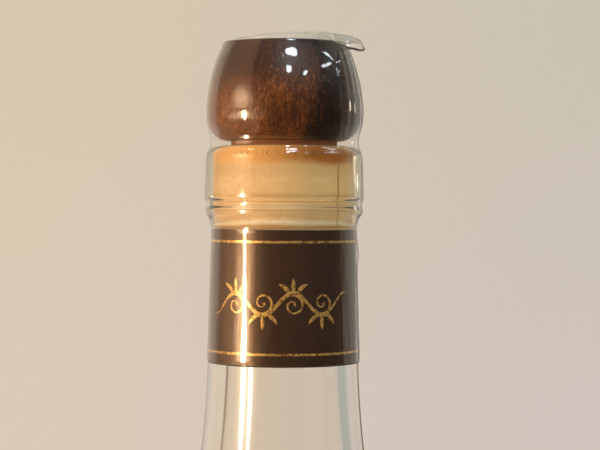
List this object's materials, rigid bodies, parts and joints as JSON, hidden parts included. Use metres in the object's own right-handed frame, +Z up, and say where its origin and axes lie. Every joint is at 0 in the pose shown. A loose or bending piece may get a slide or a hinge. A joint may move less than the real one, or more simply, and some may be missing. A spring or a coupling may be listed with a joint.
{
  "type": "grappa bottle",
  "caption": "Sealed clear glass spirit bottle with a long flared neck, turned wooden knob on a cork, dark neck band and clear seal film over the top.",
  "frame": {"origin": "centre of the foot ring, on the surface that the bottle stands on", "axes": "+Z up along the bottle's axis; -Y towards the viewer; the film's brim is widest towards +X, turned a little to the front"},
  "size_m": [0.0788, 0.0788, 0.3315],
  "materials": {
    "glass_bottle": "polished",
    "grappa": "polished",
    "cork": "matte",
    "stopper_knob": "gloss",
    "neck_label": "satin",
    "seal_film": "gloss"
  },
  "bodies": {
    "root": {"glass_bottle": "glass_bottle", "grappa": "grappa", "cork": "cork", "stopper_knob": "stopper_knob", "neck_label": "neck_label", "seal_film": "seal_film"}
  },
  "joints": []
}
